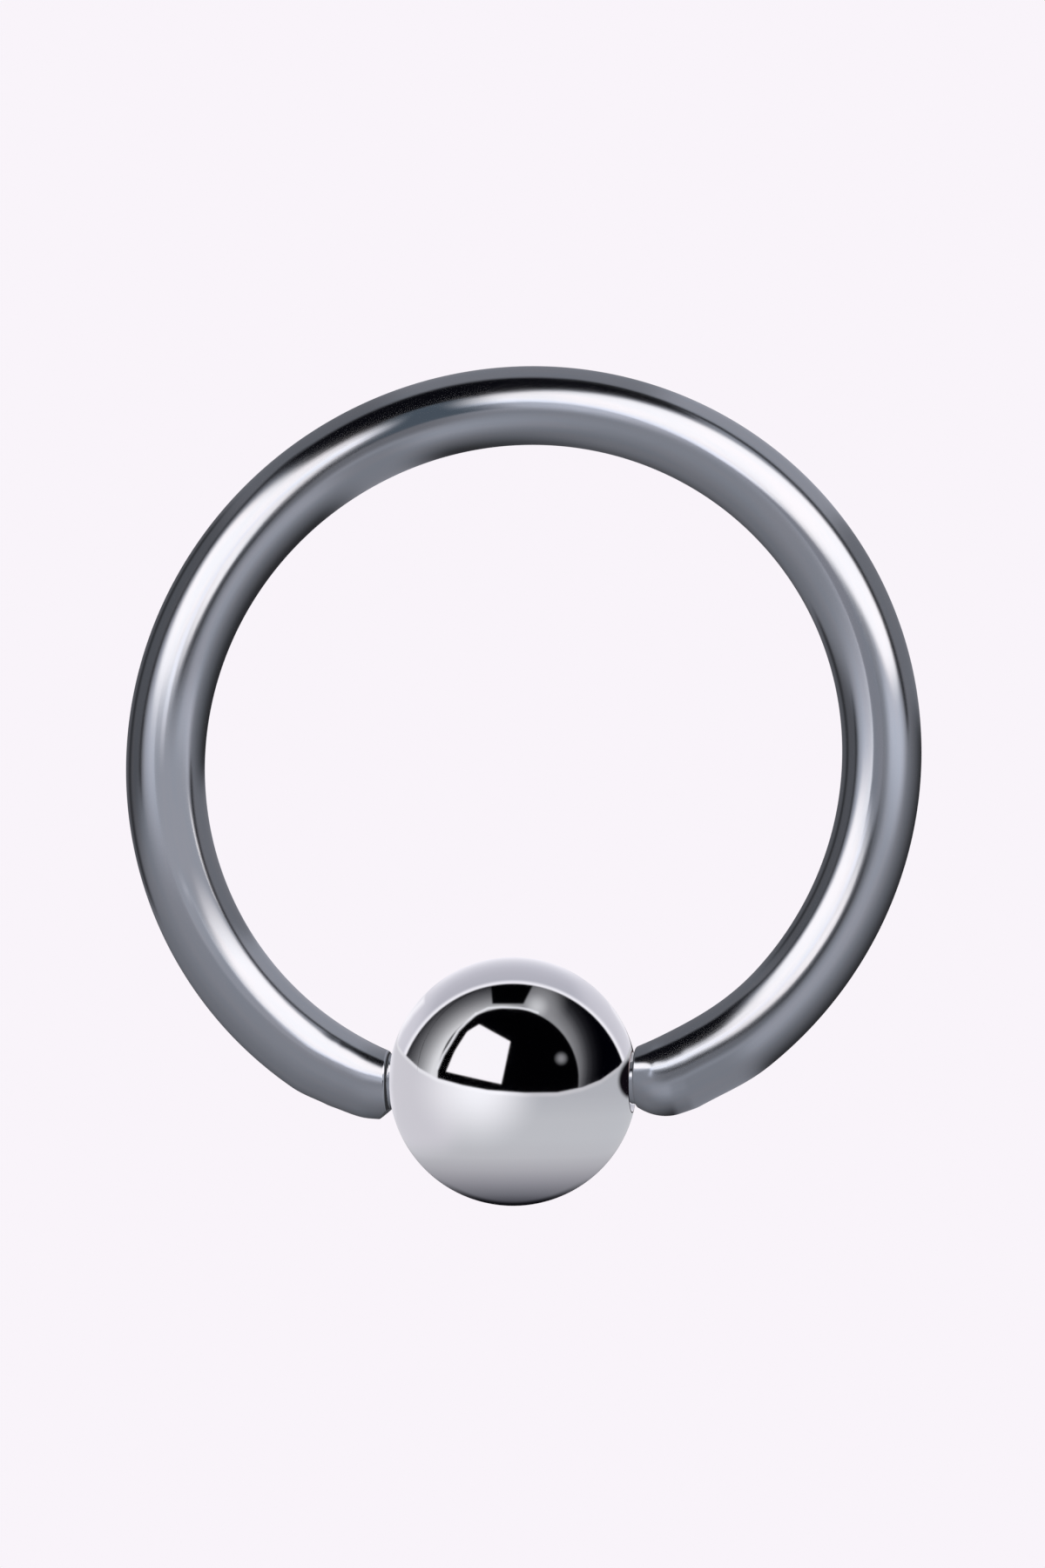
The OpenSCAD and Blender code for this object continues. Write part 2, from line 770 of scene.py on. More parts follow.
    def softboxes(self) -> list[LightPatch]:
        """Lists the softboxes, from the smallest to the largest."""
        white = self.shown(254, 250, 255)
        small = ((1.02, -0.3), (1.06, 0.14), (1.16, 0.205), (1.26, 0.20), (1.47, 0.06), (1.52, -0.3))
        left = ((-0.82, -0.3), (-0.83, 0.33), (-0.64, 0.405), (-0.50, 0.405), (-0.20, 0.02), (-0.16, -0.3))
        right = ((-0.10, -0.3), (-0.09, 0.10), (0.06, 0.25), (0.25, 0.42), (0.50, 0.575), (0.74, 0.665))
        right += ((0.80, 0.64), (0.80, 0.45), (0.62, 0.18), (0.50, 0.0), (0.25, -0.3))
        overhead = ((-2.4, -0.3), (-2.4, 0.05), (2.4, 0.05), (2.4, -0.3))
        return [
            self.panel(238, 0.04, *overhead),
            LightPatch(Panel(small, 0.06), white),
            LightPatch(Panel(left, 0.13), white),
            LightPatch(Panel(right, 0.08), white),
        ]

    def dark_cards(self) -> list[LightPatch]:
        """Lists the dark cards and gaps that edge the softboxes."""
        black = self.shown(8, 8, 13)
        wedge = ((-0.17, 0.08), (-0.37, 0.20), (-0.41, 0.34), (-0.42, 0.53))
        wedge += ((0.26, 0.575), (0.30, 0.50), (0.05, 0.24), (-0.08, 0.12))
        small_edge = ((1.03, 0.22), (1.12, 0.275), (1.30, 0.275), (1.44, 0.18), (1.60, 0.15))
        left_edge = ((-0.95, 0.53), (-0.80, 0.50), (-0.62, 0.47), (-0.47, 0.49), (-0.38, 0.55))
        right_edge = ((0.10, 0.55), (0.30, 0.585), (0.45, 0.61), (0.60, 0.655), (0.75, 0.70), (0.84, 0.735))
        return [
            self.ribbon(42, 0.05, 0.09, *small_edge),
            self.ribbon(34, 0.04, 0.07, *left_edge),
            LightPatch(Panel(wedge, 0.08), black),
            self.ribbon(26, 0.055, 0.06, *right_edge),
        ]


@dataclass
class CrownFlags(StudioShell):
    """Flags that hang low over the crown of the wire and keep the softboxes apart there.

    Their picture is unrolled like the ring shell's: across is the clock angle in hundreds of degrees, and up
    is how far out from the crown of the wire a point lies, against its height over the crown.
    """

    rest: Matrix
    crown_r: float
    crown_z: float
    height: float = 1.77 * MM
    inner_reach: float = 4.9 * MM
    outer_reach: float = 0.8 * MM
    farthest: float = 6.5 * MM

    def flags(self) -> list[LightPatch]:
        """Lists the flags."""
        far_left = ((-1.52, 0.10), (-1.52, 0.32), (-1.38, 0.32), (-1.38, -0.10))
        mid_left = ((-1.46, -0.10), (-1.46, 0.32), (-1.1, 0.32), (-1.1, -0.50))
        left = ((-1.20, 0.22), (-0.86, 0.30), (-0.84, -5.2), (-1.18, -5.2))
        gap = ((-0.27, -0.9), (-0.22, 0.25), (-0.10, 0.25), (-0.05, -0.9))
        right = ((0.34, -0.45), (0.52, 0.06), (0.70, 0.45), (1.02, 0.64), (1.02, -0.12))
        return [
            LightPatch(Panel(far_left, 0.14), self.shown(136, 138, 148)),
            LightPatch(Panel(mid_left, 0.18), self.shown(140, 142, 152)),
            LightPatch(Panel(left, 0.20), self.shown(144, 146, 156)),
            LightPatch(Panel(gap, 0.12), self.shown(70, 79, 90)),
            LightPatch(Panel(right, 0.12), self.shown(121, 123, 133)),
        ]

    def picture(self, sheet: NodeSheet, right: bpy.types.NodeSocket, top: bpy.types.NodeSocket) -> Picture:
        """Unrolls the flags' plane.

        Args:
            sheet: The node sheet.
            right: Place in the ring's plane towards its right.
            top: Place in the ring's plane away from the bead.

        Returns:
            The picture's coordinates.
        """
        seen_from = self.rest.to_3x3().transposed() @ self.viewpoint.towards()
        across = sheet.math("ADD", right, self.height * seen_from.x / seen_from.z)
        up = sheet.math("ADD", top, self.height * seen_from.y / seen_from.z)
        clock = sheet.math("MULTIPLY", sheet.math("ARCTAN2", across, up), HUNDREDS_OF_DEGREES)
        lift = self.height - self.crown_z
        out = sheet.math("MULTIPLY_ADD", sheet.length(across, up), 1.0 / lift, -self.crown_r / lift)
        return Picture(across=clock, up=out)

    def make_mesh(self) -> None:
        """Makes the flat band that the flags lie on, over the wire."""
        bpy.ops.mesh.primitive_circle_add(
            vertices=96,
            radius=self.crown_r + self.outer_reach,
            fill_type="NGON",
            location=(0.0, 0.0, self.height),
        )
        bpy.ops.object.mode_set(mode="EDIT")
        bpy.ops.mesh.inset(thickness=self.outer_reach + self.inner_reach)
        bpy.ops.mesh.delete(type="FACE")
        bpy.ops.object.mode_set(mode="OBJECT")
        band = bpy.context.object
        band.matrix_world = self.rest @ band.matrix_world
        bpy.ops.object.transform_apply(location=True, rotation=True, scale=True)

    def paint(self, sheet: NodeSheet, place: bpy.types.NodeSocket) -> bpy.types.NodeSocket:
        """Makes the flags' glow, clear wherever there is no flag.

        Args:
            sheet: The material's node sheet.
            place: Object coordinates.

        Returns:
            The shader.
        """
        centre = self.rest.translation
        flat = sheet.vector("SUBTRACT", place, tuple(centre))
        turned = self.rest.to_3x3()
        right = sheet.dot(flat, tuple(turned.col[0]))
        top = sheet.dot(flat, tuple(turned.col[1]))
        picture = self.picture(sheet, right, top)
        light, hidden = self.cover(sheet, picture)
        distance = sheet.add("ShaderNodeLightPath").outputs["Ray Length"]
        hidden = sheet.math("MULTIPLY", hidden, sheet.step(distance, self.farthest, self.farthest * 0.95))
        glow = sheet.add("ShaderNodeEmission")
        sheet.feed(glow.inputs["Color"], light)
        both = sheet.add("ShaderNodeMixShader")
        sheet.feed(both.inputs[0], hidden)
        sheet.feed(both.inputs[1], sheet.add("ShaderNodeBsdfTransparent").outputs[0])
        sheet.feed(both.inputs[2], glow.outputs[0])
        return both.outputs[0]

    def cover(self, sheet: NodeSheet, picture: Picture) -> tuple[bpy.types.NodeSocket, bpy.types.NodeSocket]:
        """Paints the flags.

        Args:
            sheet: The node sheet.
            picture: The picture's coordinates.

        Returns:
            The flags' light, and how much they hide.
        """
        light = None
        hidden = None
        for flag in self.flags():
            mask = flag.shape.mask(sheet, picture)
            own = (*flag.colour, 1.0)
            light = own if light is None else sheet.mix(sheet.step(mask, 0.0, 0.1), light, own)
            hidden = mask if hidden is None else sheet.math("MAXIMUM", hidden, mask)
        return light, hidden


@dataclass
class BeadShell(BallShell):
    """What the bead mirrors: a pale table and ceiling, and between them a dark room with one window.

    The shell's picture is the one that a mirror ball shows to the camera, 1 at the ball's outline.
    """

    def surroundings(self, sheet: NodeSheet, halfway: bpy.types.NodeSocket) -> bpy.types.NodeSocket:
        """Paints the bead's surroundings.

        Args:
            sheet: The shell's node sheet.
            halfway: The direction that steel faces to show a point of the shell.

        Returns:
            The light's colour.
        """
        right, up, _ = self.viewpoint.axes()
        ball = Picture(across=sheet.dot(halfway, tuple(right)), up=sheet.dot(halfway, tuple(up)))
        above_edge = sheet.math("SUBTRACT", ball.up, self.horizon(sheet, ball))
        above = sheet.step(above_edge, -0.008, 0.008)
        light = sheet.mix(above, self.table(sheet, ball, above_edge), self.ceiling(sheet, ball))
        outline = sheet.math("MULTIPLY", Disc(0.0, -0.13, 0.942, 0.03).mask(sheet, ball), above)
        light = sheet.mix(outline, light, (*self.shown(240, 238, 246), 1.0))
        inside = Disc(0.0, -0.13, 0.92, 0.016).mask(sheet, ball)
        light = sheet.mix(sheet.math("MULTIPLY", inside, above), light, self.room(sheet, ball))
        return paint_patches(sheet, ball, light, self.painted_gap_shade_and_glint())

    def painted_gap_shade_and_glint(self) -> list[LightPatch]:
        """Lists the painted shade of the gap where the wire's right end meets the bead, as the bead's right
        rim would mirror it, and the painted rosy glint of the wire's nose in that gap.
        """
        return [
            # Painted shade: a dark patch that stands for the shaded gap and the wire's end beside the bead's
            # right rim.
            LightPatch(Disc(1.03, -0.02, 0.185, 0.04), self.shown(14, 10, 16)),
            # Painted highlight: the rosy glint of the wire's nose in that gap.
            LightPatch(Ribbon(((0.968, 0.09), (0.984, -0.05)), 0.012, 0.022), self.shown(236, 212, 216)),
        ]

    def curve(self, sheet: NodeSheet, across: bpy.types.NodeSocket, points: tuple) -> bpy.types.NodeSocket:
        """Makes a height that follows a drawn line across the picture.

        Args:
            sheet: The material's node sheet.
            across: Place across the picture, from -1 to 1.
            points: The line's points, each a place across and a height from -1 to 1.

        Returns:
            The height.
        """
        place = sheet.math("MULTIPLY_ADD", across, 0.5, 0.5)
        drawn = sheet.ramp(place, [((x + 1.0) / 2.0, ((y + 1.0) / 2.0,) * 3) for x, y in points])
        return sheet.math("MULTIPLY_ADD", drawn, 2.0, -1.0)

    def horizon(self, sheet: NodeSheet, ball: Picture) -> bpy.types.NodeSocket:
        """Height of the table's far edge, lowest a little right of the middle."""
        points = (
            (-0.95, 0.250),
            (-0.75, 0.095),
            (-0.60, 0.022),
            (-0.40, -0.028),
            (-0.20, -0.064),
            (0.10, -0.086),
            (0.35, -0.086),
            (0.55, -0.050),
            (0.70, 0.004),
            (0.85, 0.098),
            (0.95, 0.200),
        )
        return self.curve(sheet, ball.across, points)

    def table(
        self,
        sheet: NodeSheet,
        ball: Picture,
        above_edge: bpy.types.NodeSocket,
    ) -> bpy.types.NodeSocket:
        """Paints the pale table, brightest left under its far edge and dark at the ball's foot.

        Args:
            sheet: The material's node sheet.
            ball: The mirror ball's picture.
            above_edge: Height above the table's far edge.

        Returns:
            The light.
        """
        height = sheet.math("MULTIPLY_ADD", ball.up, 0.5, 0.5)
        stops = [
            (0.000, (46, 46, 52)),
            (0.025, (76, 76, 84)),
            (0.050, (108, 108, 116)),
            (0.100, (143, 142, 150)),
            (0.150, (168, 167, 174)),
            (0.200, (183, 183, 189)),
            (0.270, (187, 188, 194)),
            (0.350, (186, 187, 193)),
            (0.450, (176, 177, 184)),
            (0.550, (174, 175, 182)),
        ]
        light = sheet.ramp(height, [(place, self.shown(*tones)) for place, tones in stops])
        rim = self.shown(230, 228, 238)
        left_rim = ((-0.99, 0.2), (-0.99, -0.1), (-0.93, -0.42), (-0.86, -0.56))
        patches = [
            LightPatch(
                Panel(((-1.3, -0.72), (-1.3, 0.4), (-0.45, 0.4), (-0.45, -0.50)), 0.24),
                self.shown(201, 199, 207),
            ),
            LightPatch(Disc(-0.28, -0.02, 0.31, 0.50), self.shown(243, 242, 248)),
            LightPatch(Ribbon(left_rim, 0.02, 0.06), rim, 0.8),
            LightPatch(Ribbon(((0.99, 0.0), (0.96, -0.33), (0.89, -0.52)), 0.02, 0.04), rim, 0.6),
        ]
        light = paint_patches(sheet, ball, light, patches)
        reach = sheet.length(ball.across, ball.up)
        foot = sheet.math("MULTIPLY", sheet.step(reach, 0.948, 0.982), sheet.step(ball.up, -0.78, -1.0))
        light = sheet.mix(foot, light, (*self.shown(12, 12, 16), 1.0))
        tones = ((-0.85, 218), (-0.55, 240), (-0.35, 249), (-0.10, 248))
        tones += ((0.05, 222), (0.16, 196), (0.5, 195), (0.8, 188))
        line_light = sheet.ramp(
            sheet.math("MULTIPLY_ADD", ball.across, 0.5, 0.5),
            [((x + 1.0) / 2.0, self.shown(v, v - 1, v + 5)) for x, v in tones],
        )
        return sheet.mix(sheet.step(above_edge, -0.042, -0.016), light, line_light)

    def ceiling(self, sheet: NodeSheet, ball: Picture) -> bpy.types.NodeSocket:
        """Paints the pale ceiling behind the dark room."""
        out = sheet.length(ball.across, ball.up)
        stops = [
            (0.80, (175, 175, 186)),
            (0.88, (180, 179, 190)),
            (0.92, (187, 186, 197)),
            (0.95, (198, 197, 208)),
            (0.97, (209, 208, 218)),
            (1.00, (232, 230, 240)),
        ]
        light = sheet.ramp(out, [(place, self.shown(*tones)) for place, tones in stops])
        bright = self.shown(206, 204, 214)
        white = self.shown(243, 241, 248)
        left_line = ((-0.99, 0.20), (-0.93, 0.36), (-0.84, 0.51), (-0.76, 0.61))
        patches = [
            LightPatch(Panel(((-1.3, -0.2), (-1.3, 1.0), (-0.62, 1.0), (-0.86, -0.2)), 0.2), bright, 0.8),
            LightPatch(Panel(((0.80, -0.2), (0.48, 1.0), (1.3, 1.0), (1.3, -0.2)), 0.2), bright, 0.6),
            LightPatch(Ribbon(left_line, 0.03, 0.05), white),
            LightPatch(Ribbon(((0.99, 0.20), (0.93, 0.36), (0.84, 0.53)), 0.01, 0.04), white, 0.8),
            LightPatch(Ribbon(((0.06, 0.79), (0.20, 0.762), (0.34, 0.73), (0.46, 0.66)), 0.01, 0.035), white),
        ]
        return paint_patches(sheet, ball, light, patches)

    def wall(self, sheet: NodeSheet, ball: Picture, lean: float, tones: tuple) -> bpy.types.NodeSocket:
        """Paints one curved wall of the room, bright beside the arch and dark outwards.

        Args:
            sheet: The material's node sheet.
            ball: The mirror ball's picture.
            lean: How much wider the wall's light lies for each step up.
            tones: Distances from the arch's middle, each with a tone.

        Returns:
            The light.
        """
        reach = sheet.length(sheet.math("ADD", ball.across, 0.03), ball.up)
        reach = sheet.math("MULTIPLY_ADD", ball.up, -lean, reach)
        return sheet.ramp(reach, [(place, self.shown(v, v, v + 4)) for place, v in tones])

    def room(self, sheet: NodeSheet, ball: Picture) -> bpy.types.NodeSocket:
        """Paints the dark room between table and ceiling, with its arch and its window."""
        left = ((0.63, 216), (0.66, 196), (0.685, 176), (0.72, 150), (0.756, 125))
        left += ((0.785, 104), (0.816, 84), (0.86, 50), (0.90, 28))
        left_wall = self.wall(sheet, ball, -0.12, left)
        right = ((0.50, 136), (0.535, 118), (0.56, 104), (0.585, 80))
        right += ((0.617, 50), (0.655, 24), (0.695, 8), (0.735, 1))
        right_wall = self.wall(sheet, ball, 0.22, right)
        light = sheet.mix(sheet.step(ball.across, -0.10, 0.10), left_wall, right_wall)
        black = self.shown(1, 1, 2)
        arch_line = ((-0.605, 0.10), (-0.563, 0.205), (-0.50, 0.31))
        arch_line += ((-0.445, 0.405), (-0.385, 0.468), (-0.30, 0.545))
        top_line = ((-0.30, 0.545), (-0.20, 0.592), (-0.10, 0.600))
        top_line += ((0.04, 0.595), (0.13, 0.580), (0.20, 0.555))
        window = ((-0.534, 0.078), (-0.47, 0.24), (-0.37, 0.40))
        window += ((-0.274, 0.46), (-0.022, 0.323), (-0.094, -0.016))
        patches = [
            LightPatch(Disc(0.22, 0.64, 0.13, 0.24), self.shown(150, 150, 154), 0.8),
            LightPatch(Disc(0.19, 0.60, 0.06, 0.12), self.shown(204, 204, 208), 0.8),
            LightPatch(Disc(-0.04, 0.03, 0.564, 0.016), black),
            LightPatch(Ribbon(arch_line, 0.018, 0.02), self.shown(228, 228, 234)),
            LightPatch(Ribbon(top_line, 0.013, 0.02), self.shown(232, 232, 238)),
            LightPatch(Panel(((-0.17, 0.625), (-0.185, 0.80), (0.165, 0.78), (0.085, 0.625)), 0.02), black),
            LightPatch(Disc(0.385, 0.185, 0.035, 0.06), self.shown(130, 130, 134)),
            LightPatch(Panel(window, 0.014), self.shown(249, 245, 250)),
        ]
        return paint_patches(sheet, ball, light, patches)


@dataclass(frozen=True)
class WireSection:
    """One cross-section of the wire: an ellipse that stands on the ring's plane."""

    inner: Vector
    outer: Vector
    half_z: float

    @property
    def centre(self) -> Vector:
        """Middle of the section."""
        return (self.inner + self.outer) / 2

    @property
    def half_across(self) -> float:
        """Half the section's width in the ring's plane."""
        return (self.outer - self.inner).length / 2

    @property
    def heading(self) -> float:
        """Angle of the section's width in the ring's plane, in radians."""
        run = self.outer - self.inner
        return math.atan2(run.y, run.x)


class Corner(Enum):
    """How the outer corner of a wire end is taken off."""

    BEVEL = "bevel"
    ROUND = "round"


@dataclass(frozen=True)
class EndShape:
    """How one end of the wire is worked.

    Depths are given at a distance from the end's flat face, and heights at a place along X.
    """

    corner: Corner
    run: float
    drop: float
    flank_drop: float
    edge_r: float
    nose_base_r: float
    blend: float
    blend_x: float
    blend_run: float
    lift: float = 0.0
    lift_from: float = 4.9 * MM
    lift_to: float = 3.0 * MM
    flank_run: float = 0.45 * MM
    bow: float = 1.7

    def edge_depth(self, away: float) -> float:
        """Depth of the face's small rounded edge."""
        left = max(0.0, 1.0 - away / self.edge_r)
        return self.edge_r * (1.0 - math.sqrt(1.0 - left * left))

    def sweep_depth(self, away: float, run: float, drop: float) -> float:
        """Depth of a long soft rounding, steeper towards the face.

        Args:
            away: Distance from the flat face.
            run: How far from the face it starts.
            drop: Its depth at the face.

        Returns:
            The depth there.
        """
        return drop * max(0.0, 1.0 - away / run) ** self.bow

    def outer_depth(self, away: float) -> float:
        """Depth taken off the outer side, a bevel apart, which is cut later."""
        if self.corner is Corner.ROUND:
            return self.edge_depth(away) + self.sweep_depth(away, self.run, self.drop)
        return self.edge_depth(away)

    def flank_depth(self, away: float) -> float:
        """Depth taken off the upper and lower sides."""
        return self.edge_depth(away) + self.sweep_depth(away, self.flank_run, self.flank_drop)

    def outer_lift(self, x: float) -> float:
        """Height that smooths the outer side where its easing starts."""
        share = min(1.0, abs(x - self.blend_x) / self.blend_run)
        return 0.5 * self.blend * (1.0 + math.cos(math.pi * share))

    def inner_lift(self, x: float) -> float:
        """Height by which the inner side runs straighter than the ring's circle."""
        share = min(1.0, max(0.0, (self.lift_from - x) / (self.lift_from - self.lift_to)))
        return self.lift * eased(share)


@dataclass
class WireRing:
    """The wire: a bent round bar whose two ends are eased, squared off and domed."""

    sizes: JewellerySizes
    body: str = "ring"
    node: str = "ring"
    slot: str = "ring_steel"
    around: int = 96
    arc_step_deg: float = 1.0
    free_deg: float = 50.0
    ease_x: float = 3.76 * MM
    bend_x: float = 2.60 * MM
    bend_r: float = 3.66 * MM
    lean_x: float = 4.9 * MM
    tip_run: float = 0.45 * MM
    long_steps: int = 44
    tip_steps: int = 18
    nose_steps: int = 14
    cut_lean: float = 0.22
    merge: float = 0.0005 * MM

    def end_shape(self, side: Side) -> EndShape:
        """Tells how each end is worked: squared and bevelled on the left, worn rounder on the right."""
        if side is Side.LEFT:
            return EndShape(
                corner=Corner.BEVEL,
                run=0.20 * MM,
                drop=0.20 * MM,
                flank_drop=0.0,
                edge_r=0.035 * MM,
                nose_base_r=self.sizes.nose_base_r,
                blend=0.083 * MM,
                blend_x=3.72 * MM,
                blend_run=0.80 * MM,
            )
        return EndShape(
            corner=Corner.ROUND,
            run=0.85 * MM,
            drop=0.29 * MM,
            flank_drop=0.07 * MM,
            edge_r=0.04 * MM,
            nose_base_r=0.44 * MM,
            blend=0.10 * MM,
            blend_x=3.90 * MM,
            blend_run=1.30 * MM,
            lift=0.12 * MM,
        )

    def at_clock(self, radius: float, clock_deg: float) -> Vector:
        """Finds a point of the ring's plane.

        Args:
            radius: Distance from the ring's centre.
            clock_deg: Angle from the bead's direction, towards +X.

        Returns:
            The point.
        """
        angle = math.radians(clock_deg)
        return Vector((radius * math.sin(angle), -radius * math.cos(angle), 0.0))

    def inner_at(self, x: float, end: EndShape) -> Vector:
        """Point of the wire's inner side at a distance from the ring's middle line."""
        y = -math.sqrt(self.sizes.inner_r**2 - x * x)
        depth = end.edge_depth(x - self.sizes.face_x)
        return Vector((x, y + end.inner_lift(x) - depth, 0.0))

    def outer_at(self, x: float, end: EndShape) -> Vector:
        """Point of the wire's outer side, eased or not, at a distance from the ring's middle line."""
        s = self.sizes
        y = -math.sqrt(s.outer_r**2 - x * x)
        if x < self.ease_x:
            y = s.low_y + self.bend_r - math.sqrt(self.bend_r**2 - (x - self.bend_x) ** 2)
        return Vector((x, y + end.outer_lift(x) + end.outer_depth(x - s.face_x), 0.0))

    def section_places(self) -> list[float]:
        """Distances of the outer side's points from the ring's middle line, closer towards the face."""
        s = self.sizes
        far_x = s.outer_r * math.sin(math.radians(self.free_deg))
        tip_x = s.face_x + self.tip_run
        places = [far_x + (tip_x - far_x) * k / self.long_steps for k in range(self.long_steps)]
        for k in range(self.tip_steps + 1):
            places.append(s.face_x + self.tip_run * (1.0 - math.sin(math.pi / 2 * k / self.tip_steps)))
        return places

    def worked_sections(self, end: EndShape) -> list[WireSection]:
        """Sections from where the spun part stops to the face's edge, which turn upright on the way.

        Args:
            end: How the end is worked.

        Returns:
            The sections.
        """
        s = self.sizes
        found = []
        for outer_x in self.section_places():
            share = min(1.0, (outer_x - s.face_x) / (self.lean_x - s.face_x))
            lean = eased(share)
            inner_x = outer_x * (1.0 - (1.0 - s.inner_r / s.outer_r) * lean)
            half_z = s.wire_r - end.flank_depth(outer_x - s.face_x)
            found.append(WireSection(self.inner_at(inner_x, end), self.outer_at(outer_x, end), half_z))
        return found

    def face_sections(self, end: EndShape) -> list[WireSection]:
        """Sections across the flat face, from its edge to the base of the nose.

        Args:
            end: How the end is worked.

        Returns:
            The sections.
        """
        s = self.sizes
        edge = self.worked_sections(end)[-1]
        base = end.nose_base_r
        found = []
        for share, rise in ((0.35, 0.0), (0.92, 0.0), (1.0, 0.006 * MM)):
            inner_y = edge.inner.y + (s.bead_y + base - edge.inner.y) * share
            outer_y = edge.outer.y + (s.bead_y - base - edge.outer.y) * share
            half_z = edge.half_z + (base - edge.half_z) * share
            x = s.face_x - rise
            found.append(WireSection(Vector((x, inner_y, 0.0)), Vector((x, outer_y, 0.0)), half_z))
        return found

    def nose_sections(self, end: EndShape) -> list[WireSection]:
        """Rings of the domed nose, from near its base to near its tip.

        Args:
            end: How the end is worked.

        Returns:
            The sections.
        """
        s = self.sizes
        ball_r = cap_ball_r(end.nose_base_r, s.nose_len)
        middle_x = s.face_x - s.nose_len + ball_r
        widest = math.asin(end.nose_base_r / ball_r)
        found = []
        for k in range(1, self.nose_steps):
            angle = widest * (1.0 - k / self.nose_steps)
            x = middle_x - ball_r * math.cos(angle)
            r = ball_r * math.sin(angle)
            inner = Vector((x, s.bead_y + r, 0.0))
            outer = Vector((x, s.bead_y - r, 0.0))
            found.append(WireSection(inner, outer, r))
        return found

    def add_section(self, section: WireSection, side: Side) -> None:
        """Adds one section's outline in edit mode.

        Args:
            section: The section, drawn for the end at +X.
            side: The end that it belongs to.
        """
        turn = section.heading
        centre = section.centre
        if side is Side.LEFT:
            centre = Vector((-centre.x, centre.y, 0.0))
            turn = math.pi - turn
        bpy.ops.mesh.primitive_circle_add(
            vertices=self.around,
            radius=section.half_across,
            location=centre,
            rotation=Euler((math.pi / 2, 0.0, turn)),
        )
        squash = section.half_z / section.half_across
        bpy.ops.transform.resize(value=(1.0, 1.0, squash), center_override=centre)

    def select_outlines(self, mesh: bpy.types.Mesh, chosen: set[int]) -> None:
        """Selects whole outlines by their vertices, in edit mode.

        Args:
            mesh: The mesh.
            chosen: The vertices' numbers.
        """
        bpy.ops.mesh.select_all(action="DESELECT")
        work = bmesh.from_edit_mesh(mesh)
        for edge in work.edges:
            first, second = edge.verts
            edge.select_set(first.index in chosen and second.index in chosen)
        bmesh.update_edit_mesh(mesh)

    def model_end(self, mesh: bpy.types.Mesh, side: Side) -> None:
        """Lofts one end of the wire through its sections and closes its tip, in edit mode.

        Args:
            mesh: The mesh.
            side: Which end.
        """
        end = self.end_shape(side)
        sections = self.worked_sections(end) + self.face_sections(end) + self.nose_sections(end)
        outlines = []
        for section in sections:
            first = len(bmesh.from_edit_mesh(mesh).verts)
            self.add_section(section, side)
            outlines.append(set(range(first, first + self.around)))
        for here, there in zip(outlines, outlines[1:]):
            self.select_outlines(mesh, here | there)
            bpy.ops.mesh.bridge_edge_loops()
        self.select_outlines(mesh, outlines[-1])
        bpy.ops.mesh.edge_face_add()
        bpy.ops.mesh.poke()

    def cut_corner(self, mesh: bpy.types.Mesh, side: Side) -> None:
        """Cuts a bevelled end's outer corner off with a plane, in edit mode.

        Args:
            mesh: The mesh.
            side: Which end.
        """
        s = self.sizes
        end = self.end_shape(side)
        way = float(side.value)
        work = bmesh.from_edit_mesh(mesh)
        for face in work.faces:
            middle = face.calc_center_median()
            away = way * middle.x - s.face_x
            if -s.nose_len < away < 2.0 * s.wire_r and middle.y < s.bead_y + 2.0 * s.wire_r:
                face.select_set(True)
        bmesh.update_edit_mesh(mesh)
        bpy.ops.mesh.bisect(
            plane_co=(way * (s.face_x + end.run), s.low_y, 0.0),
            plane_no=(-way * end.drop / end.run, -1.0, -self.cut_lean),
            clear_outer=True,
            threshold=0.1 * self.merge,
        )
        bpy.ops.mesh.edge_face_add()
        bpy.ops.mesh.mark_sharp()

    def spin_arc(self) -> None:
        """Spins the round section into the even part of the ring, in edit mode."""
        start = self.at_clock(self.sizes.mid_r, -self.free_deg)
        turn = math.atan2(start.y, start.x)
        bpy.ops.mesh.select_all(action="DESELECT")
        bpy.ops.mesh.primitive_circle_add(
            vertices=self.around,
            radius=self.sizes.wire_r,
            location=start,
            rotation=Euler((math.pi / 2, 0.0, turn)),
        )
        span_deg = 360.0 - 2.0 * self.free_deg
        bpy.ops.mesh.spin(
            steps=round(span_deg / self.arc_step_deg),
            angle=math.radians(span_deg),
            center=(0.0, 0.0, 0.0),
            axis=(0.0, 0.0, 1.0),
        )

    def build(self) -> bpy.types.Object:
        """Models the wire in the ring's plane and lays it down.

        Returns:
            The wire.
        """
        deselect_all()
        bpy.ops.mesh.primitive_circle_add(vertices=3, radius=self.sizes.wire_r)
        wire = bpy.context.object
        wire.name = "wire_ring"
        bpy.ops.object.mode_set(mode="EDIT")
        bpy.ops.mesh.select_mode(type="EDGE")
        bpy.ops.mesh.select_all(action="SELECT")
        bpy.ops.mesh.delete(type="VERT")
        for side in Side:
            self.model_end(wire.data, side)
        self.spin_arc()
        bpy.ops.mesh.select_all(action="SELECT")
        bpy.ops.mesh.remove_doubles(threshold=self.merge)
        bpy.ops.mesh.normals_make_consistent(inside=False)
        for side in Side:
            if self.end_shape(side).corner is Corner.BEVEL:
                bpy.ops.mesh.select_all(action="DESELECT")
                self.cut_corner(wire.data, side)
        bpy.ops.object.mode_set(mode="OBJECT")
        lay_down(wire, self.sizes)
        return wire

    def dress(self, wire: bpy.types.Object, finish: "PolishedSteel") -> None:
        """Gives the wire its steel and its place in the frame.

        Args:
            wire: The modelled wire.
            finish: Its steel.
        """
        wire.data.materials.append(finish.material(self.sizes))
        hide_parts(self.node)
        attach(wire, self.body)


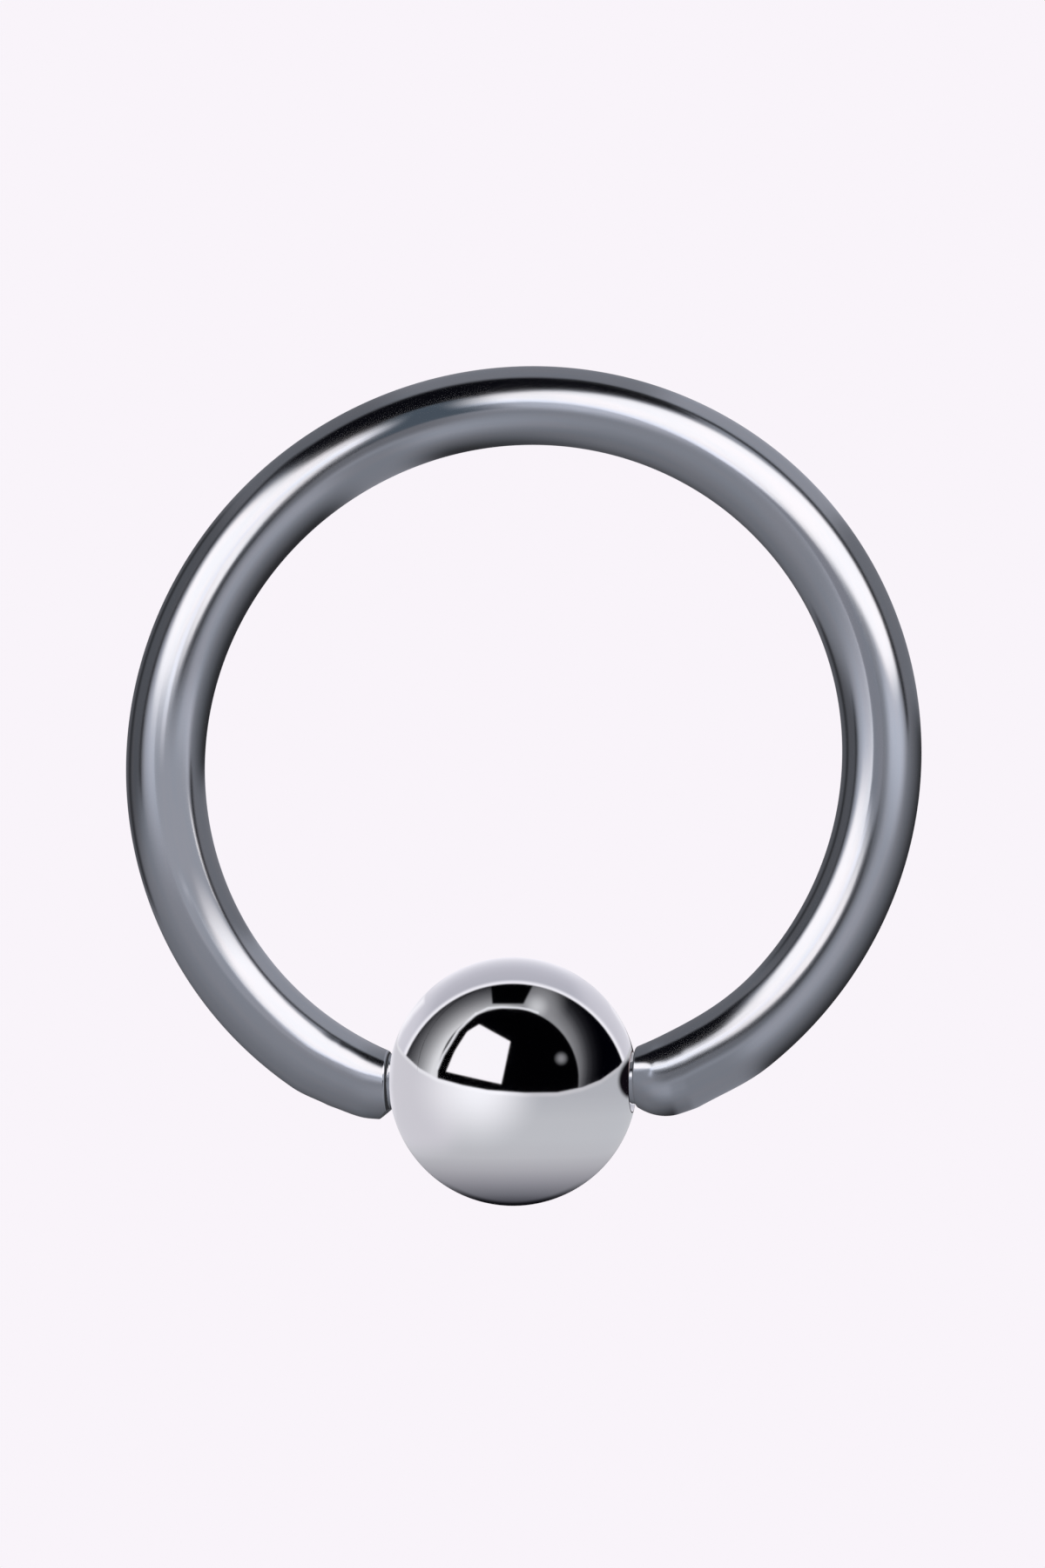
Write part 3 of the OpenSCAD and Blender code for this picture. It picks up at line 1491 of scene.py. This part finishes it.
def lay_down(piece: bpy.types.Object, sizes: JewellerySizes) -> None:
    """Moves a piece from the ring's plane to where it rests, with its place in its mesh.

    Args:
        piece: The piece, modelled in the ring's plane.
        sizes: The driving sizes.
    """
    make_active(piece)
    piece.matrix_world = sizes.at_rest() @ piece.matrix_world
    bpy.ops.object.transform_apply(location=True, rotation=True, scale=True)
    bpy.ops.object.shade_smooth()


@dataclass
class Bead:
    """The ball: a polished sphere with a round dimple on each side."""

    sizes: JewellerySizes
    body: str = "bead"
    node: str = "bead"
    slot: str = "bead_steel"
    around: int = 192
    rings: int = 128
    rim_r: float = 0.02 * MM
    dimple_steps: int = 12

    def rim_place(self) -> tuple[float, float]:
        """Where a dimple meets the ball.

        Returns:
            The rim's distance along the axis and its radius.
        """
        s = self.sizes
        along = (s.bead_r**2 - s.dimple_r**2 + s.nose_x**2) / (2 * s.nose_x)
        return along, math.sqrt(s.bead_r**2 - along**2)

    def profile(self) -> list[tuple[float, float]]:
        """Rings of one dimple after the ball's own last ring, as distance along the axis and radius."""
        s = self.sizes
        along, radius = self.rim_place()
        lift = math.asin(radius / s.bead_r)
        edge = self.rim_r / s.bead_r
        found = [
            (s.bead_r * math.cos(lift + 3 * edge), s.bead_r * math.sin(lift + 3 * edge)),
            (s.bead_r * math.cos(lift + edge), s.bead_r * math.sin(lift + edge)),
        ]
        widest = math.asin(radius / s.dimple_r)
        for k in range(self.dimple_steps):
            share = 1.0 - k / self.dimple_steps
            angle = (widest - self.rim_r / s.dimple_r) * share
            found.append((s.nose_x - s.dimple_r * math.cos(angle), s.dimple_r * math.sin(angle)))
        return found

    def build(self) -> bpy.types.Object:
        """Models the bead about the ring's X axis and lays it down.

        Returns:
            The bead.
        """
        s = self.sizes
        deselect_all()
        bpy.ops.mesh.primitive_uv_sphere_add(
            segments=self.around,
            ring_count=self.rings,
            radius=s.bead_r,
            rotation=(0.0, math.pi / 2, 0.0),
        )
        ball = bpy.context.object
        ball.name = "captive_bead"
        bpy.ops.object.transform_apply(location=True, rotation=True, scale=True)
        bpy.ops.object.mode_set(mode="EDIT")
        mesh = ball.data
        for side in Side:
            self.sink_dimple(mesh, side)
        bpy.ops.mesh.select_all(action="SELECT")
        bpy.ops.mesh.normals_make_consistent(inside=False)
        bpy.ops.object.mode_set(mode="OBJECT")
        ball.location = (0.0, s.bead_y, 0.0)
        bpy.context.view_layer.update()
        lay_down(ball, s)
        return ball

    def sink_dimple(self, mesh: bpy.types.Mesh, side: Side) -> None:
        """Opens the ball at one pole and draws its edge in to a dimple, in edit mode.

        Args:
            mesh: The ball's mesh.
            side: Which side of the ball.
        """
        s = self.sizes
        sign = side.value
        along, radius = self.rim_place()
        lift = math.asin(radius / s.bead_r)
        keep_x = s.bead_r * math.cos(lift + 5 * self.rim_r / s.bead_r)
        work = bmesh.from_edit_mesh(mesh)
        for vert in work.verts:
            vert.select_set(False)
        for vert in work.verts:
            if vert.co.x * sign > keep_x:
                vert.select_set(True)
        work.select_flush_mode()
        bmesh.update_edit_mesh(mesh)
        bpy.ops.mesh.delete(type="VERT")
        work = bmesh.from_edit_mesh(mesh)
        for edge in work.edges:
            edge.select_set(edge.is_boundary and edge.verts[0].co.x * sign > 0)
        bmesh.update_edit_mesh(mesh)
        edge_verts = [v for v in work.verts if v.select]
        here_x = edge_verts[0].co.x
        here_r = math.hypot(edge_verts[0].co.y, edge_verts[0].co.z)
        for x, r in self.profile():
            bpy.ops.mesh.extrude_edges_move(TRANSFORM_OT_translate={"value": (sign * x - here_x, 0.0, 0.0)})
            bpy.ops.transform.resize(value=(1.0, r / here_r, r / here_r), center_override=(0.0, 0.0, 0.0))
            here_x = sign * x
            here_r = r
        bpy.ops.mesh.edge_face_add()
        bpy.ops.mesh.poke()

    def dress(self, ball: bpy.types.Object, finish: "PolishedSteel") -> None:
        """Gives the bead its steel and its place in the frame.

        Args:
            ball: The modelled bead.
            finish: Its steel.
        """
        ball.data.materials.append(finish.material(self.sizes))
        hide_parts(self.node)
        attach(ball, self.body)


def wear_group() -> bpy.types.NodeTree:
    """Makes the shader group that both steels share: fine rubbing marks and a slight change of tone.

    Returns:
        The group, with a place and scales in, and a colour, a roughness and a height out.
    """
    group = bpy.data.node_groups.new("polished_steel_wear", "ShaderNodeTree")
    sockets = (
        ("Place", "INPUT", "Vector"),
        ("Steel", "INPUT", "Color"),
        ("Cool Steel", "INPUT", "Color"),
        ("Roughness", "INPUT", "Float"),
        ("Cloud Scale", "INPUT", "Float"),
        ("Mark Scale", "INPUT", "Float"),
        ("Colour", "OUTPUT", "Color"),
        ("Roughness", "OUTPUT", "Float"),
        ("Height", "OUTPUT", "Float"),
    )
    for name, way, kind in sockets:
        group.interface.new_socket(name, in_out=way, socket_type="NodeSocket" + kind)
    cloud_detail = 3.0
    mark_detail = 4.0
    least_rub = 0.75
    rub_span = 0.5
    sheet = NodeSheet(group)
    given = sheet.add("NodeGroupInput").outputs
    clouds = sheet.add("ShaderNodeTexNoise")
    sheet.feed(clouds.inputs["Vector"], given["Place"])
    sheet.feed(clouds.inputs["Scale"], given["Cloud Scale"])
    clouds.inputs["Detail"].default_value = cloud_detail
    marks = sheet.add("ShaderNodeTexNoise")
    sheet.feed(marks.inputs["Vector"], given["Place"])
    sheet.feed(marks.inputs["Scale"], given["Mark Scale"])
    marks.inputs["Detail"].default_value = mark_detail
    cloud = sheet.step(clouds.outputs["Fac"], 0.3, 0.7)
    colour = sheet.mix(cloud, given["Steel"], given["Cool Steel"])
    rub = sheet.math("MULTIPLY_ADD", marks.outputs["Fac"], rub_span, least_rub)
    rough = sheet.math("MULTIPLY", given["Roughness"], rub)
    leaving = sheet.add("NodeGroupOutput")
    sheet.feed(leaving.inputs["Colour"], colour)
    sheet.feed(leaving.inputs["Roughness"], rough)
    sheet.feed(leaving.inputs["Height"], marks.outputs["Fac"])
    return group


@dataclass(frozen=True)
class PolishedSteel:
    """What both steels share: bare metal with rubbing marks and a slight change of tone."""

    wear: bpy.types.NodeTree
    name: str
    steel: Colour
    cool_steel: Colour
    roughness: float
    mark_depth: float
    cloud_scale: float
    mark_scale: float

    def place(self, sheet: NodeSheet, sizes: JewellerySizes) -> bpy.types.NodeSocket:
        """Finds places on the piece for the marks. Each steel has its own way."""
        raise NotImplementedError

    def material(self, sizes: JewellerySizes) -> bpy.types.Material:
        """Makes the material.

        Args:
            sizes: The driving sizes, for the places of the marks.

        Returns:
            The material.
        """
        material = bpy.data.materials.new(self.name)
        material.use_nodes = True
        sheet = NodeSheet(material.node_tree)
        worn = sheet.add("ShaderNodeGroup")
        worn.node_tree = self.wear
        sheet.feed(worn.inputs["Place"], self.place(sheet, sizes))
        worn.inputs["Steel"].default_value = (*self.steel, 1.0)
        worn.inputs["Cool Steel"].default_value = (*self.cool_steel, 1.0)
        worn.inputs["Roughness"].default_value = self.roughness
        worn.inputs["Cloud Scale"].default_value = self.cloud_scale
        worn.inputs["Mark Scale"].default_value = self.mark_scale
        surface = sheet.add("ShaderNodeBsdfPrincipled")
        surface.inputs["Metallic"].default_value = 1.0
        sheet.feed(surface.inputs["Base Color"], worn.outputs["Colour"])
        sheet.feed(surface.inputs["Roughness"], worn.outputs["Roughness"])
        bump = sheet.add("ShaderNodeBump")
        bump.inputs["Strength"].default_value = 1.0
        bump.inputs["Distance"].default_value = self.mark_depth
        sheet.feed(bump.inputs["Height"], worn.outputs["Height"])
        sheet.feed(surface.inputs["Normal"], bump.outputs["Normal"])
        sheet.feed(sheet.add("ShaderNodeOutputMaterial").inputs["Surface"], surface.outputs[0])
        return material


@dataclass(frozen=True)
class DrawnSteel(PolishedSteel):
    """The wire's steel: drawn and polished, cool grey, with soft-edged reflections."""

    name: str = "drawn_ring_steel"
    steel: Colour = (0.60, 0.61, 0.63)
    cool_steel: Colour = (0.57, 0.60, 0.63)
    roughness: float = 0.13
    mark_depth: float = 0.0003 * MM
    cloud_scale: float = 1.6
    mark_scale: float = 9.0

    def place(self, sheet: NodeSheet, sizes: JewellerySizes) -> bpy.types.NodeSocket:
        """Finds places on the wire that run slowly along it and quickly round it.

        Args:
            sheet: The material's node sheet.
            sizes: The driving sizes.

        Returns:
            The place, as a vector.
        """
        here = sheet.add("ShaderNodeTexCoord").outputs["Object"]
        flat = sheet.add("ShaderNodeMapping", vector_type="TEXTURE")
        sheet.feed(flat.inputs["Vector"], here)
        flat.inputs["Location"].default_value = (0.0, sizes.shift, sizes.rise)
        flat.inputs["Rotation"].default_value = (-sizes.tilt, 0.0, 0.0)
        parts = sheet.add("ShaderNodeSeparateXYZ")
        sheet.feed(parts.inputs[0], flat.outputs["Vector"])
        x, y, z = parts.outputs
        squares = sheet.math("ADD", sheet.math("MULTIPLY", x, x), sheet.math("MULTIPLY", y, y))
        reach = sheet.math("SUBTRACT", sheet.math("SQRT", squares), sizes.mid_r)
        ring_turn = sheet.math("ARCTAN2", x, y)
        joined = sheet.add("ShaderNodeCombineXYZ")
        sheet.feed(joined.inputs[0], sheet.math("MULTIPLY", ring_turn, 2.0))
        sheet.feed(joined.inputs[1], sheet.math("DIVIDE", reach, sizes.wire_r / 3.0))
        sheet.feed(joined.inputs[2], sheet.math("DIVIDE", z, sizes.wire_r / 3.0))
        return joined.outputs[0]


@dataclass(frozen=True)
class MirrorSteel(PolishedSteel):
    """The bead's steel: bright and mirror polished."""

    name: str = "mirror_bead_steel"
    steel: Colour = (0.86, 0.86, 0.88)
    cool_steel: Colour = (0.85, 0.855, 0.88)
    roughness: float = 0.05
    mark_depth: float = 0.00004 * MM
    cloud_scale: float = 1.5
    mark_scale: float = 14.0

    def place(self, sheet: NodeSheet, sizes: JewellerySizes) -> bpy.types.NodeSocket:
        """Finds places on the bead, in its own radii.

        Args:
            sheet: The material's node sheet.
            sizes: The driving sizes.

        Returns:
            The place, as a vector.
        """
        scaled = sheet.add("ShaderNodeMapping", vector_type="POINT")
        sheet.feed(scaled.inputs["Vector"], sheet.add("ShaderNodeTexCoord").outputs["Object"])
        scaled.inputs["Scale"].default_value = (1.0 / sizes.bead_r,) * 3
        return scaled.outputs["Vector"]


@dataclass
class Studio:
    """The plain pale floor and background, which glow by themselves and so show no shadow."""

    backdrop: Colour = shade(249, 244, 250)
    floor_half: float = 700.0 * MM

    def floor(self) -> bpy.types.Object:
        """Makes the floor.

        Returns:
            The floor.
        """
        deselect_all()
        bpy.ops.mesh.primitive_plane_add(size=2.0 * self.floor_half)
        floor = bpy.context.object
        floor.name = "pale_floor"
        floor.visible_glossy = False
        floor.data.materials.append(self.floor_material())
        return floor

    def floor_material(self) -> bpy.types.Material:
        """Makes the floor's material, a plain pale glow.

        Returns:
            The material.
        """
        material = bpy.data.materials.new("pale_floor")
        material.use_nodes = True
        sheet = NodeSheet(material.node_tree)
        glow = sheet.add("ShaderNodeEmission")
        glow.inputs["Color"].default_value = (*self.backdrop, 1.0)
        glow.inputs["Strength"].default_value = 1.0
        sheet.feed(sheet.add("ShaderNodeOutputMaterial").inputs["Surface"], glow.outputs[0])
        return material

    def background(self) -> None:
        """Makes the world pale to the camera and dark to everything else."""
        world = bpy.data.worlds.new("studio")
        bpy.context.scene.world = world
        world.use_nodes = True
        sheet = NodeSheet(world.node_tree)
        glow = sheet.add("ShaderNodeBackground")
        glow.inputs["Color"].default_value = (*self.backdrop, 1.0)
        sheet.feed(glow.inputs["Strength"], sheet.add("ShaderNodeLightPath").outputs["Is Camera Ray"])
        sheet.feed(sheet.add("ShaderNodeOutputWorld").inputs["Surface"], glow.outputs[0])

    def colours(self) -> None:
        """Shows colours as they are, so that the pale floor stays pale."""
        settings = bpy.context.scene.view_settings
        settings.view_transform = "Standard"
        settings.look = "None"


def main() -> None:
    """Builds the object and its studio in order."""
    logging.basicConfig(level=logging.INFO, format="%(message)s")
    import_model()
    sizes = JewellerySizes()
    viewpoint = Viewpoint()
    viewpoint.make_camera(sizes.at_rest().translation)
    ring_studio_r = 70.0 * MM
    bead_studio_r = 500.0 * MM
    studio = Studio()
    studio.colours()
    studio.background()
    studio.floor()
    wear = wear_group()
    ring = WireRing(sizes)
    wire = ring.build()
    # Each piece mirrors its own studio and not the other piece.
    wire.visible_glossy = False
    steel = DrawnSteel(wear)
    ring.dress(wire, steel)
    LOG.info("wire_ring: %d triangles", triangle_count(wire))
    bead = Bead(sizes)
    ball = bead.build()
    ball.visible_glossy = False
    mirror = MirrorSteel(wear)
    bead.dress(ball, mirror)
    LOG.info("captive_bead: %d triangles", triangle_count(ball))
    rest = sizes.at_rest()
    RingShell("ring_studio", viewpoint, steel.steel, ring_studio_r, rest).build(wire)
    CrownFlags("crown_flags", viewpoint, steel.steel, rest, sizes.mid_r, sizes.wire_r).build(wire)
    BeadShell("bead_studio", viewpoint, mirror.steel, bead_studio_r).build(ball)


if __name__ == "__main__":
    main()
